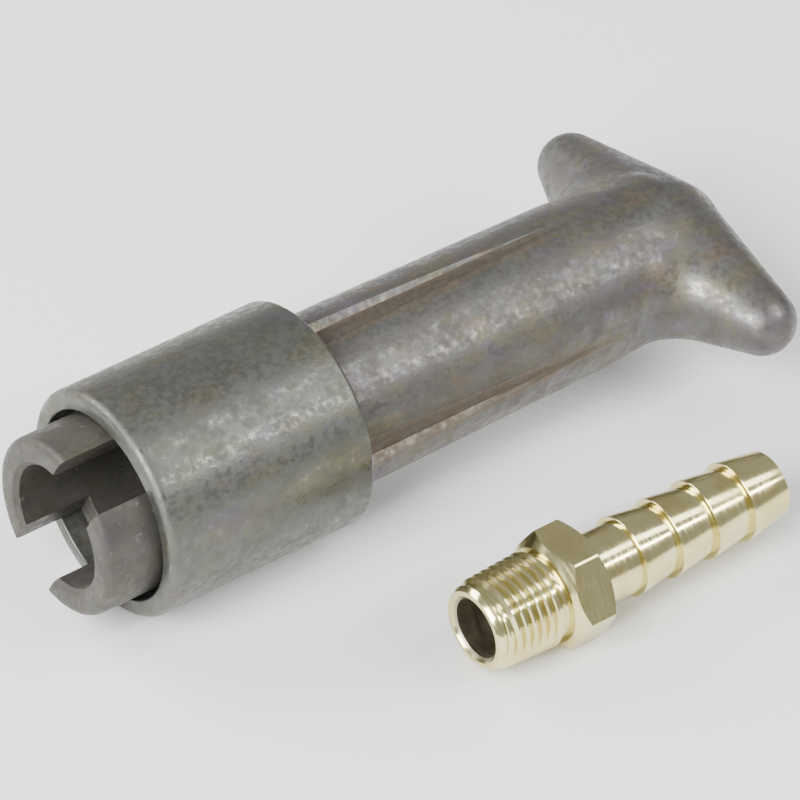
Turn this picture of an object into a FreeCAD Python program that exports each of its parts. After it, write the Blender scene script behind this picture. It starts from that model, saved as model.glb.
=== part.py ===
import FreeCAD, Part
import math
import os

os.makedirs("parts", exist_ok=True)

V = FreeCAD.Vector

# Millimetres. +X runs along the nozzle from the nose to the T-handle, +Y along the T-bar, +Z up.
# The origin is on the nozzle axis, a little way behind the bottom of the nose slots.
xAxis = V(1, 0, 0)
yAxis = V(0, 1, 0)
zAxis = V(0, 0, 1)
axisPoint = V(0, 0, 0)
fullTurn = 360.0
halfTurn = 180.0
quarterTurn = 90.0
edgeSlack = 0.01             # how far an edge may lie from the place it is looked up by
overrun = 2.0                # how far a cutter runs past the face it opens

# nose tube: the slotted, turned piece that plugs on to the tank fitting
noseFront = -10.0
noseR = 9.37
noseRound = 0.9
socketR = 6.5
mouthChamfer = 0.5
slotWidth = 6.2
slotBottom = -2.0
slotTurn = 27.5              # degrees from straight up, towards the near wing
sealFront = 6.2
sealR = 6.9
webFront = 8.0
webR = 4.4
chamberFront = 9.2
chamberR = 6.2
flangeFront = 12.6
flangeR = 10.6
flangeChamfer = 0.4
spigotFront = 14.6
spigotR = 7.9
spigotRear = 25.0
clipFront = 23.0
clipThick = 0.8
clipGrooveR = 6.8
snapFront = -1.4
snapThick = 0.9
snapGrooveR = 8.9
snapGrooveSlack = 0.05

# outer collar and the pieces that ride with it
collarFront = -4.2
collarRear = 19.9
collarR = 12.0
collarFrontRound = 0.9
collarRearRound = 0.45
collarMouthR = 10.0
collarShoulder = -0.4
collarLandR = 9.44
collarChamberFront = 1.4
collarChamberR = 11.0
endRingFront = 17.9
endRingBoreR = 9.28
endRingLip = 0.25
washerThick = 0.8
washerR = 10.9
springWireR = 0.5
springR = 10.25
springTurns = 5.0
snapR = 9.85
snapGap = 70.0               # degrees left open in the snap ring
snapSlack = 0.05

# cast handle body
bodyR = 9.2
bodyParallelTo = 27.0
bodyWaistX = 54.0
bodyWaistR = 8.85
bossX = 64.1
bossR = 8.1
tipX = 66.1
tipY = 15.5
tipR = 3.55
wingBlend = 0.9567           # cosine of the taper's half angle, which widens its slices
wingRootHeight = 6.8
wingStations = (2.0, 5.5, 8.0, 9.5, 11.0, 13.0, 16.5)
wingFronts = (55.5, 55.0, 55.8, 58.0, 59.9, 61.1, 62.7)
wingRearX = 72.31
wingRearSlope = 0.1684
wingTaper = 0.2935
ovalSpare = 0.02
fluteAngles = (0.0, 90.0, 180.0, 270.0)
fluteStartWidth = 3.3
fluteEndWidth = 0.5
fluteDepth = 0.75
fluteEndX = 55.5
bodyBoreRear = 25.2
passageR = 3.4
portR = 4.25
portLength = 9.0
portFace = 71.4
portFaceR = 6.2
portChamfer = 0.8
jointSealWireR = 0.4
jointSealR = 8.3
pinX = 16.7
pinR = 1.0
pinInner = 6.3
pinOuter = 9.05
pinTurn = 45.0

# valve inside the nose tube
seatRear = 11.6
seatBoreR = 3.2
seatConeFront = 10.6
seatConeR = 4.2
faceSealBoreR = 4.0
poppetFront = 7.4
poppetNoseR = 1.9
poppetNoseChamfer = 0.3
poppetConeFront = 10.9
poppetConeR = 2.9
headFront = 11.75
headRear = 13.6
headR = 5.1
headEdge = 0.25
poppetSealR = 4.6
poppetSealWireR = 0.45
poppetSealGap = 0.02
stemR = 1.4
stemRear = 25.4
guideFront = 21.4
guideRear = 23.0
guideBoreR = 1.46
hubR = 2.4
hubRear = 24.4
flowHoleR = 1.3
flowHoleRing = 4.3
flowHoleCount = 4
clipBoreR = 5.5
clipR = 6.75
clipGap = 60.0
poppetSpringR = 3.0
poppetSpringWireR = 0.3
poppetSpringTurns = 5.0

# loose hose fitting, lying beside the nozzle on one of its hexagon flats
fitX = 18.65
fitY = -29.6
fitZ = -6.44
fitBoreR = 3.15
fitMouthR = 3.55
fitMouthDepth = 0.4
fitRimR = 4.2
threadPitch = 0.94
threadTurns = 8
threadTipR = 4.65
threadTaper = 0.045          # growth of the crest radius per millimetre
threadDepth = 0.5
threadLead = 1.1
threadEnd = 8.3
crestWidth = 0.17            # width of the flat on each crest
flankWidth = 0.35            # length that each sloping flank takes up
reliefR = 4.4
hexFront = 8.6
hexRear = 13.2
hexSides = 6
hexFlat = 11.11
hexCornerR = 6.35
hexFrontR = 5.0
hexFrontChamfer = 1.05
hexRearR = 5.4
hexRearChamfer = 0.65
neckR = 3.8
barbFirst = 18.2
barbSpacing = 4.6
barbCount = 4
barbTopR = 4.25
barbRootR = 3.65
fitLength = 37.1
tailR = 3.55
tailChamfer = 0.25


# a closed (x, radius) outline turned about the nozzle axis
def turned(outline):
    points = [V(x, 0, r) for x, r in outline]
    face = Part.Face(Part.makePolygon(points + points[:1]))
    return face.revolve(axisPoint, xAxis, fullTurn)


def rod(radius, start, end):
    return Part.makeCylinder(radius, end - start, V(start, 0, 0), xAxis)


def tube(outerR, innerR, start, end):
    return rod(outerR, start, end).cut(rod(innerR, start - overrun, end + overrun))


# a round piece with its edges at one station and radius rounded over
def rounded(shape, roundR, station, radius):
    edges = []
    for edge in shape.Edges:
        box = edge.BoundBox
        if abs(box.XMin - station) < edgeSlack and abs(box.XMax - station) < edgeSlack:
            if abs(box.ZMax - radius) < edgeSlack and abs(box.ZMin + radius) < edgeSlack:
                edges.append(edge)
    return shape.makeFillet(roundR, edges)


# a box whose middle line points away from the axis, turned about the axis
def radialBox(start, end, inner, outer, width, turn):
    box = Part.makeBox(end - start, width, outer - inner, V(start, -width / 2.0, inner))
    box.rotate(axisPoint, xAxis, turn)
    return box


def openRing(outerR, innerR, start, end, gap, turn):
    ring = tube(outerR, innerR, start, end)
    half = math.radians(gap / 2.0)
    reach = outerR + overrun
    spread = reach * math.tan(half)
    wedge = Part.Face(Part.makePolygon([
        V(start - overrun, 0, 0),
        V(start - overrun, -spread, -reach),
        V(start - overrun, spread, -reach),
        V(start - overrun, 0, 0),
    ])).extrude(V(end - start + 2.0 * overrun, 0, 0))
    ring = ring.cut(wedge)
    ring.rotate(axisPoint, xAxis, turn)
    return ring


# a coil between two stations on the nozzle axis, its wire just inside both
def coil(start, end, coilR, wireR, turns):
    height = end - start - 2.0 * wireR
    path = Part.makeLongHelix(height / turns, height, coilR)
    wire = Part.Wire(Part.makeCircle(wireR, V(coilR, 0, 0), yAxis).Edges)
    shape = Part.Wire(path.Edges).makePipeShell([wire], True, True)
    shape.rotate(axisPoint, yAxis, quarterTurn)
    shape.translate(V(start + wireR, 0, 0))
    return shape


def noseTube():
    shape = turned([
        (noseFront, socketR + mouthChamfer),
        (noseFront, noseR),
        (snapFront - snapGrooveSlack, noseR),
        (snapFront - snapGrooveSlack, snapGrooveR),
        (snapFront + snapThick + snapGrooveSlack, snapGrooveR),
        (snapFront + snapThick + snapGrooveSlack, noseR),
        (flangeFront, noseR),
        (flangeFront, flangeR - flangeChamfer),
        (flangeFront + flangeChamfer, flangeR),
        (spigotFront, flangeR),
        (spigotFront, spigotR),
        (spigotRear, spigotR),
        (spigotRear, chamberR),
        (clipFront + clipThick, chamberR),
        (clipFront + clipThick, clipGrooveR),
        (clipFront, clipGrooveR),
        (clipFront, chamberR),
        (chamberFront, chamberR),
        (chamberFront, webR),
        (webFront, webR),
        (webFront, sealR),
        (sealFront, sealR),
        (sealFront, socketR),
        (noseFront + mouthChamfer, socketR),
    ])
    shape = rounded(shape, noseRound, noseFront, noseR)
    slotLength = slotBottom - noseFront + overrun
    slot = Part.makeBox(
        slotLength,
        slotWidth,
        2.0 * (noseR + overrun),
        V(noseFront - overrun, -slotWidth / 2.0, -noseR - overrun),
    )
    slot.rotate(axisPoint, xAxis, slotTurn)
    return shape.cut(slot).cut(pinRod())


def pinRod():
    pin = Part.makeCylinder(pinR, pinOuter - pinInner, V(pinX, 0, pinInner), zAxis)
    pin.rotate(axisPoint, xAxis, pinTurn)
    return pin


def snapRing():
    return openRing(snapR, snapGrooveR + snapSlack, snapFront, snapFront + snapThick, snapGap, 0.0)


def collar():
    shape = turned([
        (collarFront, collarMouthR),
        (collarFront, collarR),
        (collarRear, collarR),
        (collarRear, collarChamberR),
        (collarChamberFront, collarChamberR),
        (collarChamberFront, collarLandR),
        (collarShoulder, collarLandR),
        (collarShoulder, collarMouthR),
    ])
    shape = rounded(shape, collarFrontRound, collarFront, collarR)
    return rounded(shape, collarRearRound, collarRear, collarR)


def collarEndRing():
    return turned([
        (endRingFront, endRingBoreR + endRingLip),
        (endRingFront, collarChamberR),
        (collarRear, collarChamberR),
        (collarRear, endRingBoreR + endRingLip),
        (collarRear - endRingLip, endRingBoreR),
        (endRingFront + endRingLip, endRingBoreR),
    ])


def thrustWasher():
    return tube(washerR, collarLandR, collarChamberFront, collarChamberFront + washerThick)


def collarSpring():
    return coil(collarChamberFront + washerThick, flangeFront, springR, springWireR, springTurns)


# one half of the T-bar: oval slices that spread into the barrel at its root, with a ball tip
def wing(side):
    slices = []
    for y, front in zip(wingStations, wingFronts):
        rear = wingRearX - wingRearSlope * y
        height = min(wingRootHeight, (bossR - wingTaper * y) / wingBlend)
        centre = V((front + rear) / 2.0, side * y, 0)
        longest = max((rear - front) / 2.0, height + ovalSpare)
        oval = Part.Ellipse(centre + V(longest, 0, 0), centre + V(0, 0, height), centre)
        slices.append(Part.Wire(oval.toShape()))
    return Part.makeLoft(slices, True, False).fuse(Part.makeSphere(tipR, V(tipX, side * tipY, 0)))


# a shallow wedge that narrows and runs out towards the T-bar
def flute(turn):
    start = spigotFront - overrun
    wires = []
    for x, width, depth in ((start, fluteStartWidth, fluteDepth), (fluteEndX, fluteEndWidth, 0.0)):
        half = width / 2.0
        low = bodyR - depth
        top = bodyR + overrun
        if x == fluteEndX:
            low = bodyWaistR - depth
        wires.append(Part.makePolygon([
            V(x, -half, low),
            V(x, half, low),
            V(x, half + overrun, top),
            V(x, -half - overrun, top),
            V(x, -half, low),
        ]))
    cutter = Part.makeLoft(wires, True, True)
    cutter.rotate(axisPoint, xAxis, turn)
    return cutter


def handleBody():
    barrel = turned([
        (spigotFront, 0.0),
        (spigotFront, bodyR),
        (bodyParallelTo, bodyR),
        (bodyWaistX, bodyWaistR),
        (bossX, bossR),
        (bossX, 0.0),
    ])
    shape = barrel.fuse(Part.makeSphere(bossR, V(bossX, 0, 0)))
    for side in (-1.0, 1.0):
        shape = shape.fuse(wing(side))
    for turn in fluteAngles:
        shape = shape.cut(flute(turn))
    shape = shape.cut(rod(spigotR, spigotFront - overrun, bodyBoreRear))
    sealPocket = rod(jointSealR + jointSealWireR, spigotFront - overrun, spigotFront + 2.0 * jointSealWireR)
    shape = shape.cut(sealPocket)
    shape = shape.cut(rod(passageR, bodyBoreRear - overrun, portFace))
    shape = shape.cut(rod(portFaceR, portFace, portFace + overrun))
    shape = shape.cut(rod(portR, portFace - portLength, portFace + overrun))
    mouth = Part.makeCone(portR, portR + portChamfer, portChamfer, V(portFace - portChamfer, 0, 0), xAxis)
    return shape.cut(mouth).cut(pinRod())


def jointSeal():
    return Part.makeTorus(jointSealR, jointSealWireR, V(spigotFront + jointSealWireR, 0, 0), xAxis)


def faceSeal():
    return tube(sealR, faceSealBoreR, sealFront, webFront)


def valveSeat():
    return turned([
        (chamberFront, seatBoreR),
        (chamberFront, chamberR),
        (seatRear, chamberR),
        (seatRear, seatConeR),
        (seatConeFront, seatBoreR),
    ])


def poppetSeal():
    station = seatRear + poppetSealGap + poppetSealWireR
    return Part.makeTorus(poppetSealR, poppetSealWireR, V(station, 0, 0), xAxis)


def poppet():
    shape = turned([
        (poppetFront, 0.0),
        (poppetFront, poppetNoseR - poppetNoseChamfer),
        (poppetFront + poppetNoseChamfer, poppetNoseR),
        (poppetConeFront, poppetNoseR),
        (headFront, poppetConeR),
        (headFront, headR - headEdge),
        (headFront + headEdge, headR),
        (headRear - headEdge, headR),
        (headRear, headR - headEdge),
        (headRear, stemR),
        (stemRear, stemR),
        (stemRear, 0.0),
    ])
    return shape.cut(poppetSeal())


def poppetSpring():
    return coil(headRear, guideFront, poppetSpringR, poppetSpringWireR, poppetSpringTurns)


def stemGuide():
    shape = rod(chamberR, guideFront, guideRear).fuse(rod(hubR, guideRear, hubRear))
    shape = shape.cut(rod(guideBoreR, guideFront - overrun, hubRear + overrun))
    for index in range(flowHoleCount):
        hole = rod(flowHoleR, guideFront - overrun, guideRear + overrun)
        hole.translate(V(0, 0, flowHoleRing))
        hole.rotate(axisPoint, xAxis, index * fullTurn / flowHoleCount)
        shape = shape.cut(hole)
    return shape


def guideClip():
    return openRing(clipR, clipBoreR, clipFront, clipFront + clipThick, clipGap, halfTurn)


# a plain lead, then ridges of a tapered pipe thread, then the relief before the hexagon
def threadOutline():
    points = [(0.0, fitRimR), (threadLead - threadPitch / 2.0, threadTipR - threadDepth / 2.0)]
    for index in range(threadTurns):
        crest = threadLead + index * threadPitch
        topR = threadTipR + threadTaper * crest
        points.append((crest - crestWidth / 2.0 - flankWidth, topR - threadDepth))
        points.append((crest - crestWidth / 2.0, topR))
        points.append((crest + crestWidth / 2.0, topR))
        points.append((crest + crestWidth / 2.0 + flankWidth, topR - threadDepth))
    points.append((threadEnd, reliefR))
    return points


def barbOutline():
    points = []
    for index in range(barbCount):
        edge = barbFirst + index * barbSpacing
        points.append((edge, barbRootR if index else neckR))
        points.append((edge, barbTopR))
    points.append((fitLength - tailChamfer, tailR))
    points.append((fitLength, tailR - tailChamfer))
    return points


# the hexagon's corners are turned away by a long cone in front and a short one behind
def hexagon():
    cornerR = hexFlat / math.sqrt(3.0)
    corners = []
    for index in range(hexSides + 1):
        angle = math.radians(fullTurn * index / hexSides)
        corners.append(V(hexFront, cornerR * math.cos(angle), cornerR * math.sin(angle)))
    nut = Part.Face(Part.makePolygon(corners)).extrude(V(hexRear - hexFront, 0, 0))
    return nut.common(turned([
        (hexFront, fitBoreR),
        (hexFront, hexFrontR),
        (hexFront + hexFrontChamfer, hexCornerR),
        (hexRear - hexRearChamfer, hexCornerR),
        (hexRear, hexRearR),
        (hexRear, fitBoreR),
    ]))


def hoseBarb():
    turnedPart = turned(
        [(0.0, fitMouthR)]
        + threadOutline()
        + [(hexFront, reliefR), (hexRear, neckR)]
        + barbOutline()
        + [(fitLength, fitBoreR), (fitMouthDepth, fitBoreR)]
    )
    shape = turnedPart.fuse(hexagon())
    shape.translate(V(fitX, fitY, fitZ))
    return shape


pieces = {
    "handle_body": handleBody,
    "nose_tube": noseTube,
    "lock_pin": pinRod,
    "joint_seal": jointSeal,
    "snap_ring": snapRing,
    "collar": collar,
    "collar_end_ring": collarEndRing,
    "thrust_washer": thrustWasher,
    "collar_spring": collarSpring,
    "face_seal": faceSeal,
    "valve_seat": valveSeat,
    "poppet": poppet,
    "poppet_seal": poppetSeal,
    "poppet_spring": poppetSpring,
    "stem_guide": stemGuide,
    "guide_clip": guideClip,
    "hose_barb": hoseBarb,
}

for name, build in pieces.items():
    build().exportStep(os.path.join("parts", name + ".step"))
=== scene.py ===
import math

import bmesh
import bpy
import numpy as np
from mathutils import Matrix, Vector


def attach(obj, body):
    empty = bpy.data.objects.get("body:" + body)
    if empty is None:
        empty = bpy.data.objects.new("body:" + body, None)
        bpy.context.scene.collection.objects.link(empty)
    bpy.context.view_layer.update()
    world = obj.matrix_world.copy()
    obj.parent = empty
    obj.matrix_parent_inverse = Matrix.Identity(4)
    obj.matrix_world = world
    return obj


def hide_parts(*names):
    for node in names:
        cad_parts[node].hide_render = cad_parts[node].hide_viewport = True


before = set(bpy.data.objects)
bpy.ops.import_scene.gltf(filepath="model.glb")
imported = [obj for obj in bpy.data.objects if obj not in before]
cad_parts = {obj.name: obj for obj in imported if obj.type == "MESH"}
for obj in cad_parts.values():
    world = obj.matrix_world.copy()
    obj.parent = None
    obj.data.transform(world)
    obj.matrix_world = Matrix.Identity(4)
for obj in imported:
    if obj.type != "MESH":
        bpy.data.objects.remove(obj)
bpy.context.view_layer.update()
mm = 0.001
scene = bpy.context.scene
print("frame loaded")


# small helpers: every piece is made in millimetres and scaled to metres at the end

seam = 0.0005       # vertices nearer than this are merged
ringSlack = 0.002   # how far an edge may lie from the ring it belongs to


def smoothStep(low, high, value):
    t = np.clip((np.asarray(value, float) - low) / (high - low), 0.0, 1.0)
    return t * t * (3.0 - 2.0 * t)


def spunOutline(outline, steps):
    # a closed (x, radius) outline spun round the nozzle axis
    bm = bmesh.new()
    corners = [bm.verts.new((x, 0.0, r)) for x, r in outline]
    for first, second in zip(corners, corners[1:] + corners[:1]):
        bm.edges.new((first, second))
    bmesh.ops.spin(
        bm, geom=bm.verts[:] + bm.edges[:], cent=(0, 0, 0), axis=(1, 0, 0), dvec=(0, 0, 0),
        angle=math.tau, steps=steps, use_merge=True, use_normal_flip=False, use_duplicate=False)
    bmesh.ops.remove_doubles(bm, verts=bm.verts, dist=seam)
    bmesh.ops.recalc_face_normals(bm, faces=bm.faces)
    return bm


def roundRing(bm, x, r, size, segments):
    # rounds the ring of edges at one station and radius
    ring = []
    for edge in bm.edges:
        ends = [(v.co.x, math.hypot(v.co.y, v.co.z)) for v in edge.verts]
        if all(abs(ex - x) < ringSlack and abs(er - r) < ringSlack for ex, er in ends):
            ring.append(edge)
    bmesh.ops.bevel(
        bm, geom=ring, offset=size, offset_type="OFFSET", segments=segments, profile=0.5,
        affect="EDGES", clamp_overlap=True, material=-1, loop_slide=True)


def finished(name, bm, material, sharp=32.0, shift=(0, 0, 0)):
    bmesh.ops.translate(bm, vec=shift, verts=bm.verts)
    bmesh.ops.scale(bm, vec=(mm, mm, mm), verts=bm.verts)
    mesh = bpy.data.meshes.new(name)
    bm.to_mesh(mesh)
    bm.free()
    return placed(name, mesh, material, sharp)


def placed(name, mesh, material, sharp=32.0):
    mesh.shade_smooth()
    mesh.set_sharp_from_angle(angle=math.radians(sharp))
    mesh.materials.clear()
    mesh.materials.append(material)
    piece = bpy.data.objects.new(name, mesh)
    scene.collection.objects.link(piece)
    return piece


def carved(piece, cutter, operation):
    # applies a boolean with a helper piece, then drops the helper
    cut = piece.modifiers.new("cut", "BOOLEAN")
    cut.operation = operation
    cut.solver = "EXACT"
    cut.object = cutter
    graph = bpy.context.evaluated_depsgraph_get()
    mesh = bpy.data.meshes.new_from_object(piece.evaluated_get(graph))
    mesh.name = piece.name
    piece.modifiers.clear()
    piece.data = mesh
    bpy.data.objects.remove(cutter)
    return piece


def welded(piece, distance):
    # closes the hairline seams that a boolean leaves, and drops slivers
    bm = bmesh.new()
    bm.from_mesh(piece.data)
    bmesh.ops.triangulate(bm, faces=bm.faces)
    bmesh.ops.remove_doubles(bm, verts=bm.verts, dist=distance * mm)
    bmesh.ops.dissolve_degenerate(bm, edges=bm.edges, dist=distance * mm)
    rims = [edge for edge in bm.edges if edge.is_boundary]
    if rims:
        bmesh.ops.holes_fill(bm, edges=rims, sides=0)
        bmesh.ops.triangulate(bm, faces=bm.faces)
    bmesh.ops.recalc_face_normals(bm, faces=bm.faces)
    print(piece.name, "open edges left", sum(not edge.is_manifold for edge in bm.edges))
    bm.to_mesh(piece.data)
    bm.free()


def softened(piece, width, segments=2, angle=35.0):
    bevel = piece.modifiers.new("edges", "BEVEL")
    bevel.width = width * mm
    bevel.segments = segments
    bevel.limit_method = "ANGLE"
    bevel.angle_limit = math.radians(angle)
    bevel.use_clamp_overlap = True
    bevel.harden_normals = True


# materials

class Nodes:
    # a thin wrapper that adds nodes and joins them with short lines
    def __init__(self, name):
        self.material = bpy.data.materials.new(name)
        self.material.use_nodes = True
        self.tree = self.material.node_tree
        self.shader = self.tree.nodes["Principled BSDF"]

    def add(self, kind, settings=None, **inputs):
        node = self.tree.nodes.new(kind)
        for key, value in (settings or {}).items():
            setattr(node, key, value)
        for key, value in inputs.items():
            self.feed(node, key.replace("_", " "), value)
        return node

    def feed(self, node, key, value):
        socket = node.inputs[int(key)] if key.isdigit() else node.inputs[key]
        if isinstance(value, bpy.types.NodeSocket):
            self.tree.links.new(value, socket)
        else:
            socket.default_value = value

    def noise(self, vector, scale, detail=4.0, roughness=0.55, distortion=0.0):
        node = self.add(
            "ShaderNodeTexNoise", Vector=vector, Scale=scale, Detail=detail,
            Roughness=roughness, Distortion=distortion)
        return node.outputs["Fac"]

    def fade(self, factor, low, high, start=0.0, end=1.0, blend="SMOOTHSTEP"):
        node = self.add("ShaderNodeMapRange", {"clamp": True, "interpolation_type": blend})
        for key, value in (("Value", factor), ("From Min", low), ("From Max", high),
                           ("To Min", start), ("To Max", end)):
            self.feed(node, key, value)
        return node.outputs["Result"]

    def sum(self, first, second, operation="ADD"):
        node = self.add("ShaderNodeMath", {"operation": operation})
        self.feed(node, "0", first)
        self.feed(node, "1", second)
        return node.outputs[0]

    def mix(self, factor, first, second):
        node = self.add("ShaderNodeMix", {"data_type": "RGBA", "blend_type": "MIX"})
        self.feed(node, "0", factor)
        self.feed(node, "6", first)
        self.feed(node, "7", second)
        return node.outputs[2]

    def bump(self, height, strength, distance, normal=None):
        node = self.add("ShaderNodeBump", Height=height, Strength=strength, Distance=distance)
        if normal is not None:
            self.feed(node, "Normal", normal)
        return node.outputs["Normal"]

    def coords(self, scale=(1, 1, 1)):
        place = self.add("ShaderNodeTexCoord").outputs["Object"]
        return self.add("ShaderNodeMapping", Vector=place, Scale=scale).outputs["Vector"]


def rgb(red, green, blue):
    return (red, green, blue, 1.0)


# the dull, mottled conversion coating that the collar, nose and casting share
coating = {
    "collar": {"base": rgb(0.134, 0.137, 0.125), "dark": rgb(0.113, 0.117, 0.104),
               "olive": rgb(0.134, 0.131, 0.086), "violet": rgb(0.119, 0.112, 0.130),
               "bronze": rgb(0.134, 0.114, 0.081), "tint": 0.55, "rough": 0.43, "grain": 1.0,
               "metallic": 0.80},
    "casting": {"base": rgb(0.133, 0.130, 0.123), "dark": rgb(0.110, 0.104, 0.096),
                "olive": rgb(0.145, 0.134, 0.088), "violet": rgb(0.136, 0.120, 0.142),
                "bronze": rgb(0.162, 0.124, 0.086), "tint": 0.70, "rough": 0.46, "grain": 1.0,
                "metallic": 0.75},
    "nose": {"base": rgb(0.074, 0.070, 0.061), "dark": rgb(0.060, 0.057, 0.049),
             "olive": rgb(0.071, 0.065, 0.042), "violet": rgb(0.060, 0.053, 0.057),
             "bronze": rgb(0.074, 0.060, 0.042), "tint": 0.6, "rough": 0.50, "grain": 0.8,
             "metallic": 0.45},
}


# the mottling: each noise has its scale, detail, roughness and distortion
mottling = {
    "broad": (110.0, 3.0, 0.6, 0.4), "cloud": (420.0, 4.0, 0.62, 0.3),
    "speck": (1300.0, 3.0, 0.6, 0.0), "fine": (3200.0, 2.0, 0.5, 0.0),
    "cloudEnds": (0.36, 0.64), "wornEnds": (0.63, 0.76), "wornShare": 0.35,
    "wornColour": rgb(0.27, 0.27, 0.26), "ior": 1.5,
    "cloudRough": (0.30, 0.70, 0.06, -0.05), "speckRough": (0.38, 0.70, 0.07, -0.14),
    "broadRough": (0.3, 0.7, 0.03, -0.03),
    "broadBump": (0.10, 0.0002), "cloudBump": (0.40, 0.0001), "speckBump": (0.50, 0.00004),
    "fineBump": (0.30, 0.00001), "tintDetail": 4.0, "tintRough": 0.65,
}
# each tint: its stretch, scale and distortion, and the levels where it starts and is full
tints = {
    "olive": ((0.6, 1.3, 1.1), 300.0, 0.0, 0.48, 0.64),
    "bronze": ((0.5, 1.1, 1.25), 230.0, 0.3, 0.54, 0.68),
    "violet": ((0.7, 0.9, 1.0), 260.0, 0.6, 0.53, 0.66),
}


def coatedMetal(name, look, flutes=None):
    n = Nodes(name)
    m = mottling
    place = n.coords()
    broad, cloud, speck, fine = (n.noise(place, *m[key]) for key in ("broad", "cloud", "speck", "fine"))
    colour = n.mix(n.fade(cloud, *m["cloudEnds"]), look["dark"], look["base"])
    for tint, (stretch, scale, distortion, low, high) in tints.items():
        spots = n.noise(n.coords(stretch), scale, m["tintDetail"], m["tintRough"], distortion)
        colour = n.mix(n.fade(spots, low, high, 0.0, look["tint"]), colour, look[tint])
    # the flutes get bronze edge wear and painted shade just inside them
    if flutes is not None:
        colour = fluteTones(n, colour, look, flutes)
    worn = n.fade(speck, *m["wornEnds"], 0.0, m["wornShare"])
    colour = n.mix(worn, colour, m["wornColour"])
    n.feed(n.shader, "Base Color", colour)
    n.shader.inputs["Metallic"].default_value = look["metallic"]
    n.shader.inputs["IOR"].default_value = m["ior"]
    low, high, duller, shinier = m["cloudRough"]
    rough = n.sum(n.fade(cloud, low, high, look["rough"] + duller, look["rough"] + shinier),
                  n.fade(speck, *m["speckRough"]))
    rough = n.sum(rough, n.fade(broad, *m["broadRough"]))
    n.feed(n.shader, "Roughness", rough)
    normal = None
    for height, key in ((broad, "broadBump"), (cloud, "cloudBump"), (speck, "speckBump")):
        strength, distance = m[key]
        normal = n.bump(height, strength * look["grain"], distance, normal)
    n.feed(n.shader, "Normal", n.bump(fine, *m["fineBump"], normal))
    return n.material


# bronze wear on a flute's edges and painted shade just inside it, in radians inwards from its edge
fluteWearAndShade = {
    "edgeStart": (-0.050, -0.012), "edgeStop": (0.0, 0.022), "edgeShare": 0.75,
    # the shade entries set where painted shade lies inside the flute and how dark it is
    "shadeStart": (0.010, 0.035), "shadeStop": (0.060, 0.120), "shadeDrop": 0.3,
    "shadeShare": 0.65, "shadeLevel": 0.75, "runOut": 8.0,
}


def fluteTones(n, colour, look, c):
    # bronze wear on the flutes' edges and painted shade, a darker tone, just inside them
    w = fluteWearAndShade
    parts = n.add("ShaderNodeSeparateXYZ", Vector=n.coords())
    angle = n.sum(parts.outputs["Z"], parts.outputs["Y"], "ARCTAN2")
    angle = n.sum(angle, math.radians(c["fluteTurn"]))
    folded = n.sum(angle, math.pi / 4.0, "PINGPONG")
    half = n.fade(parts.outputs["X"], c["front"] * mm, c["fluteEnd"] * mm,
                  math.radians(c["fluteWide"]), math.radians(c["fluteNarrow"]), "LINEAR")
    inward = n.sum(half, folded, "SUBTRACT")
    edge = n.sum(n.fade(inward, *w["edgeStart"]), n.fade(inward, *w["edgeStop"]), "SUBTRACT")
    # painted shade: a mask just inside each flute, where shade falls
    paintedShadeInside = n.sum(n.fade(inward, *w["shadeStart"]),
                   n.fade(inward, *w["shadeStop"], 0.0, w["shadeDrop"]), "SUBTRACT")
    stays = n.fade(parts.outputs["X"], (c["fluteEnd"] - w["runOut"]) * mm, c["fluteEnd"] * mm, 1.0, 0.0)
    # the painted shade's colour: the bronze tone darkened
    shade = rgb(*(w["shadeLevel"] * level for level in look["bronze"][:3]))
    for mask, share, tone in ((edge, w["edgeShare"], look["bronze"]), (paintedShadeInside, w["shadeShare"], shade)):
        colour = n.mix(n.sum(n.sum(mask, stays, "MULTIPLY"), share, "MULTIPLY"), colour, tone)
    return colour


brassFinish = {
    "marks": (420.0, 3.0, 0.6), "marksStretch": (9.0, 1.0, 1.0), "marksEnds": (0.3, 0.7),
    "marksRough": (-0.04, 0.08), "marksBump": (0.25, 0.00001),
    "tarnish": (260.0, 4.0, 0.6), "tarnishEnds": (0.35, 0.70), "tarnishTint": (0.86, 0.80, 0.68),
    "tarnishRough": (0.4, 0.7, 0.0, 0.05),
    # the bore's colour is painted shade, darker and browner than the brass
    "boreShadeColour": rgb(0.37, 0.33, 0.25), "boreRough": 0.22,
}


def turnedBrass(name, base, rough, drilled=None):
    # fine tool marks run round the piece, with a little tarnish; the drilled bore gets painted shade, a
    # darker brown colour, and a rougher finish
    n = Nodes(name)
    f = brassFinish
    marks = n.noise(n.coords(f["marksStretch"]), *f["marks"])
    tarnish = n.noise(n.coords(), *f["tarnish"])
    tarnished = rgb(*(level * share for level, share in zip(base, f["tarnishTint"])))
    colour = n.mix(n.fade(tarnish, *f["tarnishEnds"]), base, tarnished)
    shinier, duller = f["marksRough"]
    roughness = n.sum(n.fade(marks, *f["marksEnds"], rough + shinier, rough + duller),
                      n.fade(tarnish, *f["tarnishRough"]))
    if drilled is not None:
        parts = n.add("ShaderNodeSeparateXYZ", Vector=n.coords())
        sideways = n.sum(parts.outputs["Y"], drilled["place"][1] * mm, "SUBTRACT")
        upwards = n.sum(parts.outputs["Z"], drilled["place"][2] * mm, "SUBTRACT")
        away = n.sum(n.sum(sideways, 2.0, "POWER"), n.sum(upwards, 2.0, "POWER"))
        # the bore mask: painted shade in its colour and a rougher finish
        paintedShadeInside = n.fade(away, (drilled["bore"] * mm) ** 2, (drilled["mouth"] * mm) ** 2, 1.0, 0.0)
        # painted shade: the bore is coloured a darker brown
        colour = n.mix(paintedShadeInside, colour, f["boreShadeColour"])
        roughness = n.sum(roughness, n.sum(paintedShadeInside, f["boreRough"], "MULTIPLY"))
    n.feed(n.shader, "Base Color", colour)
    n.shader.inputs["Metallic"].default_value = 1.0
    n.feed(n.shader, "Roughness", roughness)
    n.feed(n.shader, "Normal", n.bump(marks, *f["marksBump"]))
    return n.material


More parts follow.
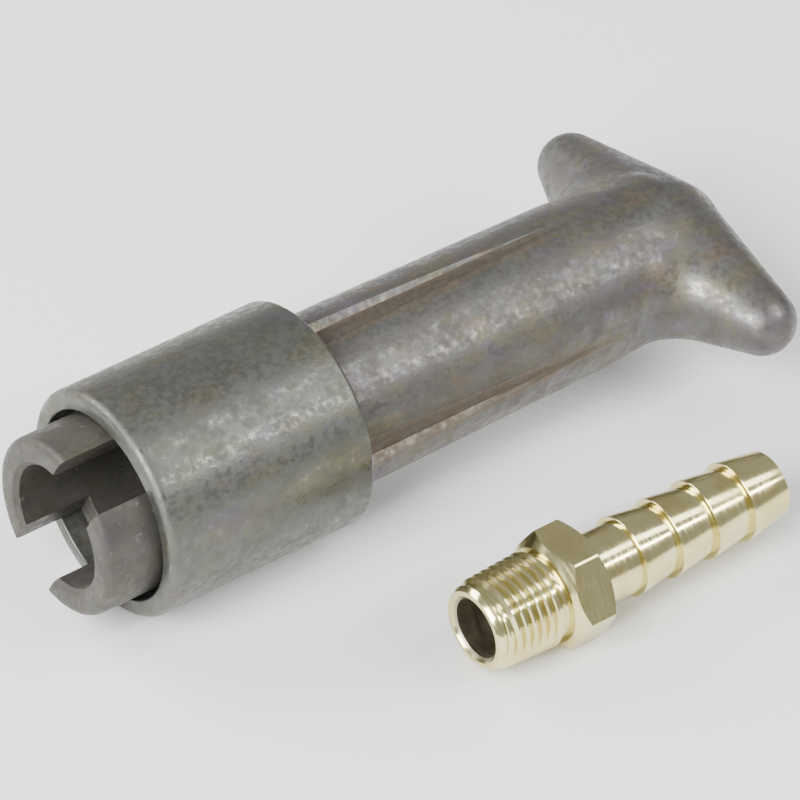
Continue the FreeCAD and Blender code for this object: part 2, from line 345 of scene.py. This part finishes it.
wireFinish = {
    "stretch": (1.0, 4.0, 4.0), "marks": (500.0, 3.0, 0.6), "dark": rgb(0.36, 0.36, 0.37),
    "light": rgb(0.50, 0.50, 0.51), "rough": (0.3, 0.7, 0.28, 0.42), "bump": (0.2, 0.00001),
    "metallic": 1.0,
}
rubberFinish = {
    "stretch": (1, 1, 1), "marks": (1400.0, 3.0, 0.6), "dark": rgb(0.012, 0.012, 0.012),
    "light": rgb(0.030, 0.029, 0.028), "rough": (0.3, 0.7, 0.55, 0.75), "bump": (0.3, 0.00002),
    "metallic": 0.0,
}


def grainyFinish(name, f):
    n = Nodes(name)
    marks = n.noise(n.coords(f["stretch"]), *f["marks"])
    n.feed(n.shader, "Base Color", n.mix(marks, f["dark"], f["light"]))
    n.shader.inputs["Metallic"].default_value = f["metallic"]
    n.feed(n.shader, "Roughness", n.fade(marks, *f["rough"]))
    n.feed(n.shader, "Normal", n.bump(marks, *f["bump"]))
    return n.material


collarCoat = coatedMetal("collarCoat", coating["collar"])
noseCoat = coatedMetal("noseCoat", coating["nose"])
valveBrass = turnedBrass("valveBrass", rgb(0.66, 0.52, 0.27), 0.30)
wireSteel = grainyFinish("wireSteel", wireFinish)
blackRubber = grainyFinish("blackRubber", rubberFinish)
print("materials made")


# sliding collar: a plain turned sleeve with soft outer edges

collarShape = {
    "front": -4.2, "rear": 19.9, "outer": 12.0, "mouth": 10.0, "shoulder": -0.4,
    "land": 9.44, "chamberFront": 1.4, "chamber": 11.0, "frontRound": 0.95, "rearRound": 0.5,
    "mouthRound": 0.22, "chamberRound": 0.12, "steps": 160,
}


def makeCollar(c):
    bm = spunOutline([
        (c["front"], c["mouth"]), (c["front"], c["outer"]),
        (c["rear"], c["outer"]), (c["rear"], c["chamber"]),
        (c["chamberFront"], c["chamber"]), (c["chamberFront"], c["land"]),
        (c["shoulder"], c["land"]), (c["shoulder"], c["mouth"]),
    ], c["steps"])
    roundRing(bm, c["front"], c["outer"], c["frontRound"], 6)
    roundRing(bm, c["rear"], c["outer"], c["rearRound"], 5)
    roundRing(bm, c["front"], c["mouth"], c["mouthRound"], 3)
    roundRing(bm, c["rear"], c["chamber"], c["chamberRound"], 2)
    return finished("collarSleeve", bm, collarCoat)


collarSleeve = makeCollar(collarShape)
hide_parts("collar")
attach(collarSleeve, "sleeve")
print("collar made")


# slotted nose: a turned tube with one slot milled across its mouth

noseShape = {
    "outline": [
        (-10.0, 7.0), (-10.0, 9.37), (-1.45, 9.37), (-1.45, 8.9), (-0.45, 8.9), (-0.45, 9.37),
        (12.6, 9.37), (12.6, 10.2), (13.0, 10.6), (14.6, 10.6), (14.6, 7.9), (25.0, 7.9),
        (25.0, 6.2), (23.8, 6.2), (23.8, 6.8), (23.0, 6.8), (23.0, 6.2), (9.2, 6.2), (9.2, 4.4),
        (8.0, 4.4), (8.0, 6.9), (6.2, 6.9), (6.2, 6.5), (-9.5, 6.5),
    ],
    "steps": 144, "lipX": -10.0, "lipR": 9.37, "lip": 0.9, "edge": 0.13, "sharp": 32,
    "slotWidth": 6.2, "slotBottom": -2.0, "slotTurn": 27.5, "cutterLong": 20.0, "cutterTall": 40.0,
}


def makeNose(c):
    bm = spunOutline(c["outline"], c["steps"])
    roundRing(bm, c["lipX"], c["lipR"], c["lip"], 5)
    nose = finished("slottedNose", bm, noseCoat)
    cutter = bmesh.new()
    bmesh.ops.create_cube(cutter, size=1.0)
    bmesh.ops.scale(cutter, vec=(c["cutterLong"], c["slotWidth"], c["cutterTall"]), verts=cutter.verts)
    bmesh.ops.translate(cutter, vec=(c["slotBottom"] - c["cutterLong"] / 2.0, 0, 0), verts=cutter.verts)
    bmesh.ops.rotate(
        cutter, verts=cutter.verts, cent=(0, 0, 0),
        matrix=Matrix.Rotation(math.radians(c["slotTurn"]), 3, "X"))
    mill = finished("slotCutter", cutter, noseCoat)
    nose = carved(nose, mill, "DIFFERENCE")
    nose.data.shade_smooth()
    nose.data.set_sharp_from_angle(angle=math.radians(c["sharp"]))
    softened(nose, c["edge"])
    return nose


slottedNose = makeNose(noseShape)
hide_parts("nose_tube")
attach(slottedNose, "nozzle")
print("nose made")


# cast handle: a fluted barrel that flows into a tapered T-bar

handleShape = {
    "front": 14.6, "radii": ((14.6, 9.2), (27.0, 9.2), (54.0, 8.85), (64.1, 8.1)),
    "bossX": 64.1, "bossR": 8.1, "tipX": 66.1, "tipY": 15.5, "tipR": 3.55, "rootR": 7.9,
    "blend": 3.6, "blendDrop": 0.75, "blendFrom": 61.0, "blendTo": 66.5, "blendLeast": 0.12,
    "ridge": 0.7, "bossSquash": 1.6,
    "perQuarter": 24, "barrelRings": 62, "bossRings": 16, "ballRings": 14,
    "bossStart": 55.5, "rearLimit": 71.4, "portRim": 5.05, "portR": 4.25, "portEnd": 62.4,
    "portMouth": 0.8, "grooves": 8, "groovePitch": 0.94, "grooveDepth": 0.42,
    "grooveStations": (0.33, 0.50, 0.83),
    "passageR": 3.4, "passageFront": 25.2, "spigotR": 7.9,
    "fluteWide": 10.6, "fluteNarrow": 2.2, "fluteEnd": 55.0, "fluteDepth": 1.05, "fluteTurn": -1.5,
    "fluteShares": (0.0, 0.45, 0.78, 1.0, 1.22, 1.6), "fluteFade": (0.7, 1.3),
    "wingFrom": 57.8, "wingTo": 70.2, "wingArc": 50.0, "wingSteps": 16, "wingStartY": 7.0,
    "wingOver": 1.2, "wingShrink": 0.62, "wingSquash": 0.7, "smoothRounds": 14,
    "probe": 0.01, "leastSlope": 0.05, "rimSlope": 0.2, "rimRounds": 8, "sharp": 40.0,
}


castingCoat = coatedMetal("castingCoat", coating["casting"], handleShape)


def barrelRadius(c, x):
    stations, sizes = zip(*c["radii"])
    return np.interp(x, stations, sizes)


def handleField(c, p):
    # distance to the barrel, blended softly with two tapered arms that meet in a soft ridge
    x, z = p[:, 0], p[:, 2]
    y = np.hypot(p[:, 1], c["ridge"])
    r = np.hypot(p[:, 1], z)
    ball = np.sqrt(((x - c["bossX"]) * c["bossSquash"]) ** 2 + r ** 2) - c["bossR"]
    barrel = np.where(x < c["bossX"], r - barrelRadius(c, x), ball)
    reach = np.array([c["tipX"] - c["bossX"], c["tipY"], 0.0])
    length = np.linalg.norm(reach)
    along = reach / length
    local = np.stack([x - c["bossX"], y, z], axis=1)
    run = local @ along
    away = np.sqrt(np.maximum((local ** 2).sum(1) - run ** 2, 1e-12))
    lean = (c["rootR"] - c["tipR"]) / length
    spread = math.sqrt(1.0 - lean * lean)
    cone = away * spread + run * lean - c["rootR"]
    shifted = run * spread - away * lean
    tip = np.sqrt(((local - reach) ** 2).sum(1)) - c["tipR"]
    arm = np.where(shifted > length * spread, tip, cone)
    sideways = 1.0 - (z / np.maximum(r, 1e-6)) ** 2
    drop = 1.0 - c["blendDrop"] * smoothStep(c["blendFrom"], c["blendTo"], x)
    soft = c["blend"] * drop * (c["blendLeast"] + (1.0 - c["blendLeast"]) * sideways)
    near = np.maximum(soft - np.abs(barrel - arm), 0.0) / soft
    return np.minimum(barrel, arm) - near * near * soft * 0.25


def ontoField(c, p, rounds):
    step = c["probe"]
    for _ in range(rounds):
        value = handleField(c, p)
        slope = np.stack([
            (handleField(c, p + axis * step) - handleField(c, p - axis * step)) / (2 * step)
            for axis in np.eye(3)], axis=1)
        p = p - slope * (value / np.maximum((slope ** 2).sum(1), c["leastSlope"]))[:, None]
    return p


def fluteWidth(c, x):
    t = np.clip((x - c["front"]) / (c["fluteEnd"] - c["front"]), 0.0, 1.0)
    return c["fluteWide"] + (c["fluteNarrow"] - c["fluteWide"]) * t


def makeHandle(c):
    quarter = c["perQuarter"]
    columns = 4 * quarter
    shares = c["fluteShares"]    # places across a flute, in half widths
    land, crest, dip = c["grooveStations"]
    # the stations of the outline, from the front rim back, down the port and out of the front bore
    barrel = list(np.linspace(c["front"], c["bossStart"], c["barrelRings"]))
    boss = list(np.linspace(c["bossStart"], c["bossX"], c["bossRings"] + 1)[1:])
    steepest = math.acos(c["portRim"] / c["bossR"])
    ball = list(np.linspace(0.0, steepest, c["ballRings"] + 1)[1:])
    rings = [(c["front"], c["spigotR"], "bore")]
    rings += [(x, float(barrelRadius(c, x)), "barrel") for x in barrel]
    rings += [(x, float(barrelRadius(c, x)), "boss") for x in boss]
    rings += [(c["bossX"] + c["bossR"] * math.sin(t), c["bossR"] * math.cos(t), "ball") for t in ball]
    rimRing = len(rings) - 1
    rings.append((c["rearLimit"] - c["portMouth"], c["portR"] + c["grooveDepth"], "port"))
    for turn in range(c["grooves"]):
        start = c["rearLimit"] - c["portMouth"] - c["groovePitch"] * turn
        rings += [(start - land, c["portR"], "port"), (start - crest, c["portR"], "port"),
                  (start - dip, c["portR"] + c["grooveDepth"], "port")]
    rings += [
        (c["portEnd"], c["portR"] + c["grooveDepth"], "port"), (c["portEnd"], c["passageR"], "port"),
        (c["passageFront"], c["passageR"], "port"), (c["passageFront"], c["spigotR"], "port"),
        (c["front"], c["spigotR"], "bore"),
    ]
    last = len(rings) - 1
    bm = bmesh.new()
    bmesh.ops.create_grid(bm, x_segments=last, y_segments=columns, size=1.0)
    index = {}
    for v in bm.verts:
        index[v] = (round((v.co.x + 1.0) * last / 2.0), round((v.co.y + 1.0) * columns / 2.0))
    for v, (ring, column) in index.items():
        x, r, kind = rings[ring]
        within = column % quarter
        half = float(fluteWidth(c, x))
        mirrored = within > quarter / 2
        place = quarter - within if mirrored else within
        if place < len(shares):
            turn = shares[place] * half
        else:
            edge = shares[-1] * half
            steps = quarter - 2 * (len(shares) - 1)
            turn = edge + (90.0 - 2.0 * edge) * (place - len(shares) + 1) / steps
        if kind in ("boss", "ball", "port", "bore"):
            even = 90.0 * place / quarter
            share = float(smoothStep(c["bossStart"], c["bossX"], x)) if kind == "boss" else 1.0
            turn = turn * (1.0 - share) + even * share
        turn = 90.0 - turn if mirrored else turn
        depth = 0.0
        if kind == "barrel":
            across = shares[place] if place < len(shares) else 9.0
            run = 1.0 - (x - c["front"]) / (c["fluteEnd"] - c["front"])
            depth = c["fluteDepth"] * max(run, 0.0) * (1.0 - float(smoothStep(*c["fluteFade"], across)))
        angle = math.radians(90.0 * (column // quarter) + turn + c["fluteTurn"])
        v.co = (x, -(r - depth) * math.sin(angle), (r - depth) * math.cos(angle))
    bm.normal_update()
    # the arms grow out of the sides of the boss
    fluted = {v for v, (ring, column) in index.items()
              if rings[ring][2] == "barrel" and rings[ring][0] < c["bossStart"] - 0.5}
    fixed = {v for v, (ring, column) in index.items() if rings[ring][2] in ("port", "bore")} | fluted
    rim = {v for v, (ring, column) in index.items() if ring == rimRing}
    bmesh.ops.remove_doubles(bm, verts=bm.verts, dist=seam)
    fixed = {v for v in fixed if v.is_valid}
    rim = {v for v in rim if v.is_valid}
    for side in (-1.0, 1.0):
        root = []
        for face in bm.faces:
            middle = face.calc_center_median()
            arc = math.degrees(math.atan2(abs(middle.z), side * middle.y))
            away = math.hypot(middle.y, middle.z)
            if c["wingFrom"] < middle.x < c["wingTo"] and arc < c["wingArc"] and away > c["portRim"]:
                root.append(face)
        for step in range(c["wingSteps"]):
            grown = bmesh.ops.extrude_face_region(bm, geom=root)["geom"]
            bmesh.ops.delete(bm, geom=root, context="FACES")
            ends = [g for g in grown if isinstance(g, bmesh.types.BMVert)]
            root = [g for g in grown if isinstance(g, bmesh.types.BMFace)]
            share = (step + 1.0) / c["wingSteps"]
            goalY = c["wingStartY"] + (c["tipY"] + c["wingOver"] - c["wingStartY"]) * share
            goalX = c["bossX"] + (c["tipX"] - c["bossX"]) * share
            size = 1.0 - c["wingShrink"] * share
            middle = sum((v.co for v in ends), Vector()) / len(ends)
            for v in ends:
                shrink = size / (1.0 - c["wingShrink"] * step / c["wingSteps"])
                v.co.x = goalX + (v.co.x - middle.x) * shrink
                v.co.z = v.co.z * shrink
                v.co.y = side * goalY + (v.co.y - middle.y) * c["wingSquash"]
    free = [v for v in bm.verts if v not in fixed and v not in rim]
    for _ in range(c["smoothRounds"]):
        bmesh.ops.smooth_vert(
            bm, verts=free, factor=0.5, use_axis_x=True, use_axis_y=True, use_axis_z=True)
        moved = ontoField(c, np.array([v.co for v in free]), 2)
        for v, place in zip(free, moved):
            v.co = place
    moved = ontoField(c, np.array([v.co for v in free]), 6)
    for v, place in zip(free, moved):
        v.co = place
    # the rear is faced off flat round the port
    for v in bm.verts:
        if v.co.x > c["rearLimit"]:
            v.co.x = c["rearLimit"]
    for v in rim:
        spots = np.array([v.co])
        for _ in range(c["rimRounds"]):
            value = handleField(c, spots)
            ahead = handleField(c, spots + [[c["probe"], 0, 0]])
            behind = handleField(c, spots - [[c["probe"], 0, 0]])
            slope = (ahead - behind) / (2 * c["probe"])
            spots[:, 0] -= value / np.maximum(slope, c["rimSlope"])
        v.co.x = min(float(spots[0, 0]), c["rearLimit"])
    bmesh.ops.recalc_face_normals(bm, faces=bm.faces)
    return finished("handleCasting", bm, castingCoat, c["sharp"])


handleCasting = makeHandle(handleShape)
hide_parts("handle_body")
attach(handleCasting, "nozzle")
print("handle made", len(handleCasting.data.polygons), "faces")


# loose brass hose barb: pipe thread, hexagon and four barbs

barbShape = {
    "place": (18.65, -29.6, -6.44), "bore": 3.15, "mouth": 3.55, "mouthDepth": 0.4, "rim": 4.2,
    "pitch": 0.94, "turns": 7.3, "tipR": 4.65, "taper": 0.045, "threadDepth": 0.5, "lead": 1.1,
    "crestWidth": 0.17, "flankWidth": 0.35, "runOut": 0.35, "sink": 0.04, "perTurn": 64,
    "rimRound": 0.15, "leadRise": 0.55, "leadTop": 0.75, "neckInset": 0.4, "leastRise": 0.02,
    "threadEnd": 8.3, "relief": 4.4, "hexFront": 8.6, "hexRear": 13.2, "flat": 11.11, "corner": 6.35,
    "frontR": 5.0, "frontChamfer": 1.05, "rearR": 5.4, "rearChamfer": 0.65, "neck": 3.8,
    "barbFirst": 18.2, "barbSpacing": 4.6, "barbCount": 4, "barbTop": 4.25, "barbRoot": 3.65,
    "barbRound": 0.09, "length": 37.1, "tail": 3.55, "tailRound": 0.25, "steps": 128,
    "weld": 0.001, "sharp": 40.0, "nutSharp": 30.0, "finalSharp": 28, "nutInside": 0.3, "nutOver": 0.01,
}


barbBrass = turnedBrass("barbBrass", rgb(0.80, 0.74, 0.39), 0.13, barbShape)


def barbEdges(c):
    return [c["barbFirst"] + c["barbSpacing"] * number for number in range(c["barbCount"])]


def threadRootR(c, x):
    return c["tipR"] + c["taper"] * x - c["threadDepth"]


def barbOutline(c):
    # the thread's ridge is added later, so the outline follows its root
    points = [(0.0, c["mouth"]), (0.0, c["rim"] - c["rimRound"]), (c["rimRound"], c["rim"])]
    rise = c["leadRise"]
    points.append((c["lead"] * rise, threadRootR(c, 0.0) + c["threadDepth"] * rise))
    points.append((c["lead"] * c["leadTop"], threadRootR(c, 0.0)))
    points.append((c["threadEnd"], threadRootR(c, c["threadEnd"])))
    neckStart = c["hexFront"] + c["neckInset"]
    points += [(neckStart, c["relief"]), (neckStart, c["neck"])]
    edges = barbEdges(c)
    points.append((edges[0], c["neck"]))
    for edge, after in zip(edges, edges[1:] + [None]):
        points.append((edge, c["barbTop"]))
        if after is not None:
            points.append((after, c["barbRoot"]))
    points += [(c["length"] - c["tailRound"], c["tail"]), (c["length"], c["tail"] - c["tailRound"])]
    points += [(c["length"], c["bore"]), (c["mouthDepth"], c["bore"])]
    return points


def makeRidge(c):
    # a right-hand helical ridge that rises out of the root and runs out again
    bm = bmesh.new()
    count = round(c["turns"] * c["perTurn"])
    half = c["crestWidth"] / 2.0
    lean = c["flankWidth"] / c["threadDepth"]
    rows = []
    for step in range(count + 1):
        turn = step / c["perTurn"]
        rise = float(smoothStep(0.0, c["runOut"], turn) * smoothStep(0.0, c["runOut"], c["turns"] - turn))
        height = c["threadDepth"] * max(rise, c["leastRise"])
        centre = c["lead"] + turn * c["pitch"]
        root = threadRootR(c, centre)
        foot = half + lean * (height + c["sink"])
        row = []
        for x, r in ((-foot, -c["sink"]), (-half, height), (half, height), (foot, -c["sink"])):
            angle = turn * math.tau
            away = root + r
            row.append(bm.verts.new((centre + x, -away * math.sin(angle), away * math.cos(angle))))
        rows.append(row)
    for first, second in zip(rows, rows[1:]):
        for corner in range(4):
            after = (corner + 1) % 4
            bm.faces.new((first[corner], first[after], second[after], second[corner]))
    bm.faces.new(rows[0])
    bm.faces.new(rows[-1])
    bmesh.ops.recalc_face_normals(bm, faces=bm.faces)
    return finished("threadRidge", bm, barbBrass, c["sharp"], c["place"])


def makeHexagon(c):
    nut = bmesh.new()
    acrossCorners = c["flat"] / math.sqrt(3.0)
    width = c["hexRear"] - c["hexFront"]
    middle = (c["hexRear"] + c["hexFront"]) / 2.0
    bmesh.ops.create_cone(
        nut, cap_ends=True, segments=6, radius1=acrossCorners, radius2=acrossCorners, depth=width,
        matrix=Matrix.Translation((middle, 0, 0)) @ Matrix.Rotation(math.radians(90), 4, "Y"))
    nutPiece = finished("hexNut", nut, barbBrass, c["nutSharp"], c["place"])
    front = c["hexFront"] - c["nutOver"]
    rear = c["hexRear"] + c["nutOver"]
    inner = c["neck"] - c["nutInside"]
    turned = spunOutline([
        (front, inner), (front, c["frontR"]),
        (c["hexFront"] + c["frontChamfer"], c["corner"]), (c["hexRear"] - c["rearChamfer"], c["corner"]),
        (rear, c["rearR"]), (rear, inner),
    ], c["steps"])
    turnedPiece = finished("nutChamfer", turned, barbBrass, c["nutSharp"], c["place"])
    return carved(nutPiece, turnedPiece, "INTERSECT")


def makeBarb(c):
    bm = spunOutline(barbOutline(c), c["steps"])
    for edge in barbEdges(c):
        roundRing(bm, edge, c["barbTop"], c["barbRound"], 3)
    stem = finished("hoseBarb", bm, barbBrass, c["sharp"], c["place"])
    stem = carved(stem, makeRidge(c), "UNION")
    stem = carved(stem, makeHexagon(c), "UNION")
    welded(stem, c["weld"])
    stem.data.shade_smooth()
    stem.data.set_sharp_from_angle(angle=math.radians(c["finalSharp"]))
    return stem


hoseBarb = makeBarb(barbShape)
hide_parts("hose_barb")
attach(hoseBarb, "fitting")
print("hose barb made", len(hoseBarb.data.polygons), "faces")


# the inner pieces keep their solids and get their finishes

innerFinishes = {
    "lock_pin": wireSteel, "snap_ring": wireSteel, "thrust_washer": wireSteel,
    "collar_spring": wireSteel, "poppet_spring": wireSteel, "guide_clip": wireSteel,
    "collar_end_ring": noseCoat, "joint_seal": blackRubber, "face_seal": blackRubber,
    "poppet_seal": blackRubber, "valve_seat": valveBrass, "poppet": valveBrass,
    "stem_guide": valveBrass,
}
for node, finish in innerFinishes.items():
    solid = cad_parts[node]
    if not solid.material_slots:
        solid.data.materials.append(finish)
    for place in solid.material_slots:
        place.material = finish


# studio: pale floor, soft lights, camera

studio = {
    "floorZ": -12.0, "floorHalf": 1.6, "floorColour": rgb(0.90, 0.90, 0.90), "world": 0.42,
    "floorRough": 0.9, "clip": (0.01, 20.0),
    "aim": (35.0, -8.0, -4.0),
    "camera": (-252.8, -359.9, 384.2), "lens": 270.0, "sensor": 36.0,
    "right": (0.797, -0.604, 0.025), "forward": (0.474, 0.598, -0.646),
}


def makeStudio(s):
    bm = bmesh.new()
    bmesh.ops.create_grid(bm, x_segments=2, y_segments=2, size=s["floorHalf"])
    bmesh.ops.translate(bm, vec=(0, 0, s["floorZ"] * mm), verts=bm.verts)
    mesh = bpy.data.meshes.new("floor")
    bm.to_mesh(mesh)
    bm.free()
    floor = bpy.data.objects.new("floor", mesh)
    scene.collection.objects.link(floor)
    paper = Nodes("paleFloor")
    paper.shader.inputs["Base Color"].default_value = s["floorColour"]
    paper.shader.inputs["Roughness"].default_value = s["floorRough"]
    mesh.materials.append(paper.material)
    world = bpy.data.worlds.new("studio")
    world.use_nodes = True
    world.node_tree.nodes["Background"].inputs["Color"].default_value = rgb(1.0, 1.0, 1.0)
    world.node_tree.nodes["Background"].inputs["Strength"].default_value = s["world"]
    scene.world = world


# each box: the way to it from the object, its distance, power in watts, and its width and height
lightBoxes = {
    "stripBox": {"way": (0.46, -0.62, 0.63), "far": 0.9, "power": 3.6, "size": (0.55, 0.05)},
    "upperBox": {"way": (0.47, -0.28, 0.84), "far": 0.9, "power": 2.2, "size": (0.55, 0.20)},
    "leftBox": {"way": (-0.80, -0.25, 0.62), "far": 0.9, "power": 18.0, "size": (0.5, 0.5)},
    "backBox": {"way": (-0.45, 0.70, 0.60), "far": 0.9, "power": 7.0, "size": (0.5, 0.4)},
}


def makeLight(name, box):
    lamp = bpy.data.lights.new(name, "AREA")
    lamp.shape = "RECTANGLE"
    lamp.size, lamp.size_y = box["size"]
    lamp.energy = box["power"]
    holder = bpy.data.objects.new(name, lamp)
    scene.collection.objects.link(holder)
    away = Vector(box["way"]).normalized()
    side = (Vector((1, 0, 0)) - away * away.x).normalized()    # the box's width runs along the nozzle
    turn = Matrix((side, away.cross(side), away)).transposed()
    aim = Vector(studio["aim"]) * mm
    holder.matrix_world = Matrix.Translation(aim + away * box["far"]) @ turn.to_4x4()


def makeCamera(s):
    right = Vector(s["right"]).normalized()
    forward = Vector(s["forward"])
    forward = (forward - right * forward.dot(right)).normalized()
    up = right.cross(forward)
    turn = Matrix((right, up, -forward)).transposed()
    data = bpy.data.cameras.new("camera")
    data.lens = s["lens"]
    data.sensor_width = s["sensor"]
    data.clip_start, data.clip_end = s["clip"]
    camera = bpy.data.objects.new("camera", data)
    scene.collection.objects.link(camera)
    camera.matrix_world = Matrix.Translation(Vector(s["camera"]) * mm) @ turn.to_4x4()
    scene.camera = camera


makeStudio(studio)
for name, box in lightBoxes.items():
    makeLight(name, box)
makeCamera(studio)
print("studio made")
